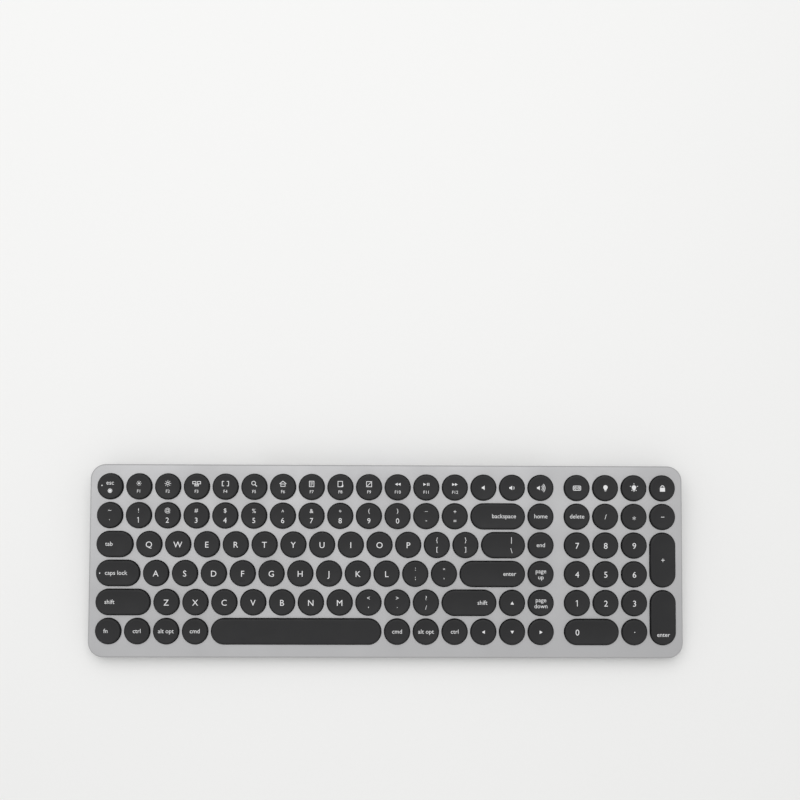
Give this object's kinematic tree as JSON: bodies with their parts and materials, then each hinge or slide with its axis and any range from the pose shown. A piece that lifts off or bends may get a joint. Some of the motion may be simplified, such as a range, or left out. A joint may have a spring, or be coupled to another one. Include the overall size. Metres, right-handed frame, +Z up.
{
  "type": "keyboard with built-in usb hub",
  "caption": "Slim full-size keyboard with round keys in a silver metal deck, and a rear edge that is a USB hub with display and card sockets.",
  "frame": {"origin": "on the desk plane, under the middle of the keyboard", "axes": "+X to the typist's right along the long side, +Y to the rear edge with the sockets, +Z up"},
  "size_m": [0.394, 0.1272, 0.0214],
  "materials": {
    "anodised_aluminium": "satin",
    "shell_plastic": "matte",
    "port_plastic": "matte",
    "key_plastic": "matte",
    "plate_steel": "satin",
    "membrane_film": "gloss",
    "light_guide_acrylic": "gloss",
    "dome_silicone": "matte",
    "link_plastic": "matte",
    "wire_steel": "satin",
    "board_laminate": "matte",
    "socket_steel": "satin",
    "chip_epoxy": "matte",
    "ribbon_film": "satin",
    "screw_steel": "satin",
    "foot_rubber": "matte"
  },
  "bodies": {
    "case": {"top_case": "anodised_aluminium", "bottom_cover": "shell_plastic", "port_panel": "port_plastic", "support_plate": "plate_steel", "membrane_sheet": "membrane_film", "light_guide": "light_guide_acrylic", "rubber_domes": "dome_silicone", "scissor_links": "link_plastic", "stabiliser_wires": "wire_steel", "main_board": "board_laminate", "usb_c_sockets": "socket_steel", "usb_a_sockets": "socket_steel", "hdmi_socket": "socket_steel", "sd_card_socket": "socket_steel", "micro_sd_socket": "socket_steel", "board_chips": "chip_epoxy", "ribbon_cable": "ribbon_film", "screws": "screw_steel", "rubber_feet": "foot_rubber"},
    "a_key": {"key_a": "key_plastic"},
    "b_key": {"key_b": "key_plastic"},
    "c_key": {"key_c": "key_plastic"},
    "d_key": {"key_d": "key_plastic"},
    "e_key": {"key_e": "key_plastic"},
    "f_key": {"key_f": "key_plastic"},
    "g_key": {"key_g": "key_plastic"},
    "h_key": {"key_h": "key_plastic"},
    "i_key": {"key_i": "key_plastic"},
    "j_key": {"key_j": "key_plastic"},
    "k_key": {"key_k": "key_plastic"},
    "l_key": {"key_l": "key_plastic"},
    "m_key": {"key_m": "key_plastic"},
    "n_key": {"key_n": "key_plastic"},
    "o_key": {"key_o": "key_plastic"},
    "p_key": {"key_p": "key_plastic"},
    "q_key": {"key_q": "key_plastic"},
    "r_key": {"key_r": "key_plastic"},
    "s_key": {"key_s": "key_plastic"},
    "t_key": {"key_t": "key_plastic"},
    "u_key": {"key_u": "key_plastic"},
    "v_key": {"key_v": "key_plastic"},
    "w_key": {"key_w": "key_plastic"},
    "x_key": {"key_x": "key_plastic"},
    "y_key": {"key_y": "key_plastic"},
    "z_key": {"key_z": "key_plastic"},
    "tab_key": {"key_tab": "key_plastic"},
    "caps_lock_key": {"key_caps_lock": "key_plastic"},
    "left_shift_key": {"key_left_shift": "key_plastic"},
    "space_key": {"key_space": "key_plastic"},
    "right_shift_key": {"key_right_shift": "key_plastic"},
    "enter_key": {"key_enter": "key_plastic"},
    "backslash_key": {"key_backslash": "key_plastic"},
    "backspace_key": {"key_backspace": "key_plastic"},
    "pad_0_key": {"key_pad_0": "key_plastic"},
    "pad_plus_key": {"key_pad_plus": "key_plastic"},
    "pad_enter_key": {"key_pad_enter": "key_plastic"},
    "function_keys": {"function_keys": "key_plastic"},
    "number_and_symbol_keys": {"number_and_symbol_keys": "key_plastic"},
    "modifier_and_arrow_keys": {"modifier_and_arrow_keys": "key_plastic"},
    "keypad_keys": {"keypad_keys": "key_plastic"}
  },
  "joints": [
    {"name": "key_a_press", "type": "slide", "parent": "case", "child": "a_key", "axis": [0, 0.0785, -0.9969], "range_m": [0, 0.0018], "stiffness_N_per_m": 150, "springref_m": -0.0015, "deforming": ["rubber_domes", "scissor_links", "stabiliser_wires"]},
    {"name": "key_b_press", "type": "slide", "parent": "case", "child": "b_key", "axis": [0, 0.0785, -0.9969], "range_m": [0, 0.0018], "stiffness_N_per_m": 150, "springref_m": -0.0015, "deforming": ["rubber_domes", "scissor_links", "stabiliser_wires"]},
    {"name": "key_c_press", "type": "slide", "parent": "case", "child": "c_key", "axis": [0, 0.0785, -0.9969], "range_m": [0, 0.0018], "stiffness_N_per_m": 150, "springref_m": -0.0015, "deforming": ["rubber_domes", "scissor_links", "stabiliser_wires"]},
    {"name": "key_d_press", "type": "slide", "parent": "case", "child": "d_key", "axis": [0, 0.0785, -0.9969], "range_m": [0, 0.0018], "stiffness_N_per_m": 150, "springref_m": -0.0015, "deforming": ["rubber_domes", "scissor_links", "stabiliser_wires"]},
    {"name": "key_e_press", "type": "slide", "parent": "case", "child": "e_key", "axis": [0, 0.0785, -0.9969], "range_m": [0, 0.0018], "stiffness_N_per_m": 150, "springref_m": -0.0015, "deforming": ["rubber_domes", "scissor_links", "stabiliser_wires"]},
    {"name": "key_f_press", "type": "slide", "parent": "case", "child": "f_key", "axis": [0, 0.0785, -0.9969], "range_m": [0, 0.0018], "stiffness_N_per_m": 150, "springref_m": -0.0015, "deforming": ["rubber_domes", "scissor_links", "stabiliser_wires"]},
    {"name": "key_g_press", "type": "slide", "parent": "case", "child": "g_key", "axis": [0, 0.0785, -0.9969], "range_m": [0, 0.0018], "stiffness_N_per_m": 150, "springref_m": -0.0015, "deforming": ["rubber_domes", "scissor_links", "stabiliser_wires"]},
    {"name": "key_h_press", "type": "slide", "parent": "case", "child": "h_key", "axis": [0, 0.0785, -0.9969], "range_m": [0, 0.0018], "stiffness_N_per_m": 150, "springref_m": -0.0015, "deforming": ["rubber_domes", "scissor_links", "stabiliser_wires"]},
    {"name": "key_i_press", "type": "slide", "parent": "case", "child": "i_key", "axis": [0, 0.0785, -0.9969], "range_m": [0, 0.0018], "stiffness_N_per_m": 150, "springref_m": -0.0015, "deforming": ["rubber_domes", "scissor_links", "stabiliser_wires"]},
    {"name": "key_j_press", "type": "slide", "parent": "case", "child": "j_key", "axis": [0, 0.0785, -0.9969], "range_m": [0, 0.0018], "stiffness_N_per_m": 150, "springref_m": -0.0015, "deforming": ["rubber_domes", "scissor_links", "stabiliser_wires"]},
    {"name": "key_k_press", "type": "slide", "parent": "case", "child": "k_key", "axis": [0, 0.0785, -0.9969], "range_m": [0, 0.0018], "stiffness_N_per_m": 150, "springref_m": -0.0015, "deforming": ["rubber_domes", "scissor_links", "stabiliser_wires"]},
    {"name": "key_l_press", "type": "slide", "parent": "case", "child": "l_key", "axis": [0, 0.0785, -0.9969], "range_m": [0, 0.0018], "stiffness_N_per_m": 150, "springref_m": -0.0015, "deforming": ["rubber_domes", "scissor_links", "stabiliser_wires"]},
    {"name": "key_m_press", "type": "slide", "parent": "case", "child": "m_key", "axis": [0, 0.0785, -0.9969], "range_m": [0, 0.0018], "stiffness_N_per_m": 150, "springref_m": -0.0015, "deforming": ["rubber_domes", "scissor_links", "stabiliser_wires"]},
    {"name": "key_n_press", "type": "slide", "parent": "case", "child": "n_key", "axis": [0, 0.0785, -0.9969], "range_m": [0, 0.0018], "stiffness_N_per_m": 150, "springref_m": -0.0015, "deforming": ["rubber_domes", "scissor_links", "stabiliser_wires"]},
    {"name": "key_o_press", "type": "slide", "parent": "case", "child": "o_key", "axis": [0, 0.0785, -0.9969], "range_m": [0, 0.0018], "stiffness_N_per_m": 150, "springref_m": -0.0015, "deforming": ["rubber_domes", "scissor_links", "stabiliser_wires"]},
    {"name": "key_p_press", "type": "slide", "parent": "case", "child": "p_key", "axis": [0, 0.0785, -0.9969], "range_m": [0, 0.0018], "stiffness_N_per_m": 150, "springref_m": -0.0015, "deforming": ["rubber_domes", "scissor_links", "stabiliser_wires"]},
    {"name": "key_q_press", "type": "slide", "parent": "case", "child": "q_key", "axis": [0, 0.0785, -0.9969], "range_m": [0, 0.0018], "stiffness_N_per_m": 150, "springref_m": -0.0015, "deforming": ["rubber_domes", "scissor_links", "stabiliser_wires"]},
    {"name": "key_r_press", "type": "slide", "parent": "case", "child": "r_key", "axis": [0, 0.0785, -0.9969], "range_m": [0, 0.0018], "stiffness_N_per_m": 150, "springref_m": -0.0015, "deforming": ["rubber_domes", "scissor_links", "stabiliser_wires"]},
    {"name": "key_s_press", "type": "slide", "parent": "case", "child": "s_key", "axis": [0, 0.0785, -0.9969], "range_m": [0, 0.0018], "stiffness_N_per_m": 150, "springref_m": -0.0015, "deforming": ["rubber_domes", "scissor_links", "stabiliser_wires"]},
    {"name": "key_t_press", "type": "slide", "parent": "case", "child": "t_key", "axis": [0, 0.0785, -0.9969], "range_m": [0, 0.0018], "stiffness_N_per_m": 150, "springref_m": -0.0015, "deforming": ["rubber_domes", "scissor_links", "stabiliser_wires"]},
    {"name": "key_u_press", "type": "slide", "parent": "case", "child": "u_key", "axis": [0, 0.0785, -0.9969], "range_m": [0, 0.0018], "stiffness_N_per_m": 150, "springref_m": -0.0015, "deforming": ["rubber_domes", "scissor_links", "stabiliser_wires"]},
    {"name": "key_v_press", "type": "slide", "parent": "case", "child": "v_key", "axis": [0, 0.0785, -0.9969], "range_m": [0, 0.0018], "stiffness_N_per_m": 150, "springref_m": -0.0015, "deforming": ["rubber_domes", "scissor_links", "stabiliser_wires"]},
    {"name": "key_w_press", "type": "slide", "parent": "case", "child": "w_key", "axis": [0, 0.0785, -0.9969], "range_m": [0, 0.0018], "stiffness_N_per_m": 150, "springref_m": -0.0015, "deforming": ["rubber_domes", "scissor_links", "stabiliser_wires"]},
    {"name": "key_x_press", "type": "slide", "parent": "case", "child": "x_key", "axis": [0, 0.0785, -0.9969], "range_m": [0, 0.0018], "stiffness_N_per_m": 150, "springref_m": -0.0015, "deforming": ["rubber_domes", "scissor_links", "stabiliser_wires"]},
    {"name": "key_y_press", "type": "slide", "parent": "case", "child": "y_key", "axis": [0, 0.0785, -0.9969], "range_m": [0, 0.0018], "stiffness_N_per_m": 150, "springref_m": -0.0015, "deforming": ["rubber_domes", "scissor_links", "stabiliser_wires"]},
    {"name": "key_z_press", "type": "slide", "parent": "case", "child": "z_key", "axis": [0, 0.0785, -0.9969], "range_m": [0, 0.0018], "stiffness_N_per_m": 150, "springref_m": -0.0015, "deforming": ["rubber_domes", "scissor_links", "stabiliser_wires"]},
    {"name": "key_tab_press", "type": "slide", "parent": "case", "child": "tab_key", "axis": [0, 0.0785, -0.9969], "range_m": [0, 0.0018], "stiffness_N_per_m": 150, "springref_m": -0.0015, "deforming": ["rubber_domes", "scissor_links", "stabiliser_wires"]},
    {"name": "key_caps_lock_press", "type": "slide", "parent": "case", "child": "caps_lock_key", "axis": [0, 0.0785, -0.9969], "range_m": [0, 0.0018], "stiffness_N_per_m": 150, "springref_m": -0.0015, "deforming": ["rubber_domes", "scissor_links", "stabiliser_wires"]},
    {"name": "key_left_shift_press", "type": "slide", "parent": "case", "child": "left_shift_key", "axis": [0, 0.0785, -0.9969], "range_m": [0, 0.0018], "stiffness_N_per_m": 150, "springref_m": -0.0015, "deforming": ["rubber_domes", "scissor_links", "stabiliser_wires"]},
    {"name": "key_space_press", "type": "slide", "parent": "case", "child": "space_key", "axis": [0, 0.0785, -0.9969], "range_m": [0, 0.0018], "stiffness_N_per_m": 150, "springref_m": -0.0015, "deforming": ["rubber_domes", "scissor_links", "stabiliser_wires"]},
    {"name": "key_right_shift_press", "type": "slide", "parent": "case", "child": "right_shift_key", "axis": [0, 0.0785, -0.9969], "range_m": [0, 0.0018], "stiffness_N_per_m": 150, "springref_m": -0.0015, "deforming": ["rubber_domes", "scissor_links", "stabiliser_wires"]},
    {"name": "key_enter_press", "type": "slide", "parent": "case", "child": "enter_key", "axis": [0, 0.0785, -0.9969], "range_m": [0, 0.0018], "stiffness_N_per_m": 150, "springref_m": -0.0015, "deforming": ["rubber_domes", "scissor_links", "stabiliser_wires"]},
    {"name": "key_backslash_press", "type": "slide", "parent": "case", "child": "backslash_key", "axis": [0, 0.0785, -0.9969], "range_m": [0, 0.0018], "stiffness_N_per_m": 150, "springref_m": -0.0015, "deforming": ["rubber_domes", "scissor_links", "stabiliser_wires"]},
    {"name": "key_backspace_press", "type": "slide", "parent": "case", "child": "backspace_key", "axis": [0, 0.0785, -0.9969], "range_m": [0, 0.0018], "stiffness_N_per_m": 150, "springref_m": -0.0015, "deforming": ["rubber_domes", "scissor_links", "stabiliser_wires"]},
    {"name": "key_pad_0_press", "type": "slide", "parent": "case", "child": "pad_0_key", "axis": [0, 0.0785, -0.9969], "range_m": [0, 0.0018], "stiffness_N_per_m": 150, "springref_m": -0.0015, "deforming": ["rubber_domes", "scissor_links", "stabiliser_wires"]},
    {"name": "key_pad_plus_press", "type": "slide", "parent": "case", "child": "pad_plus_key", "axis": [0, 0.0785, -0.9969], "range_m": [0, 0.0018], "stiffness_N_per_m": 150, "springref_m": -0.0015, "deforming": ["rubber_domes", "scissor_links", "stabiliser_wires"]},
    {"name": "key_pad_enter_press", "type": "slide", "parent": "case", "child": "pad_enter_key", "axis": [0, 0.0785, -0.9969], "range_m": [0, 0.0018], "stiffness_N_per_m": 150, "springref_m": -0.0015, "deforming": ["rubber_domes", "scissor_links", "stabiliser_wires"]},
    {"name": "function_keys_press", "type": "slide", "parent": "case", "child": "function_keys", "axis": [0, 0.0785, -0.9969], "range_m": [0, 0.0018], "stiffness_N_per_m": 3000, "springref_m": -0.0015, "deforming": ["rubber_domes", "scissor_links", "stabiliser_wires"]},
    {"name": "number_and_symbol_keys_press", "type": "slide", "parent": "case", "child": "number_and_symbol_keys", "axis": [0, 0.0785, -0.9969], "range_m": [0, 0.0018], "stiffness_N_per_m": 3000, "springref_m": -0.0015, "deforming": ["rubber_domes", "scissor_links", "stabiliser_wires"]},
    {"name": "modifier_and_arrow_keys_press", "type": "slide", "parent": "case", "child": "modifier_and_arrow_keys", "axis": [0, 0.0785, -0.9969], "range_m": [0, 0.0018], "stiffness_N_per_m": 2250, "springref_m": -0.0015, "deforming": ["rubber_domes", "scissor_links", "stabiliser_wires"]},
    {"name": "keypad_keys_press", "type": "slide", "parent": "case", "child": "keypad_keys", "axis": [0, 0.0785, -0.9969], "range_m": [0, 0.0018], "stiffness_N_per_m": 2100, "springref_m": -0.0015, "deforming": ["rubber_domes", "scissor_links", "stabiliser_wires"]}
  ]
}
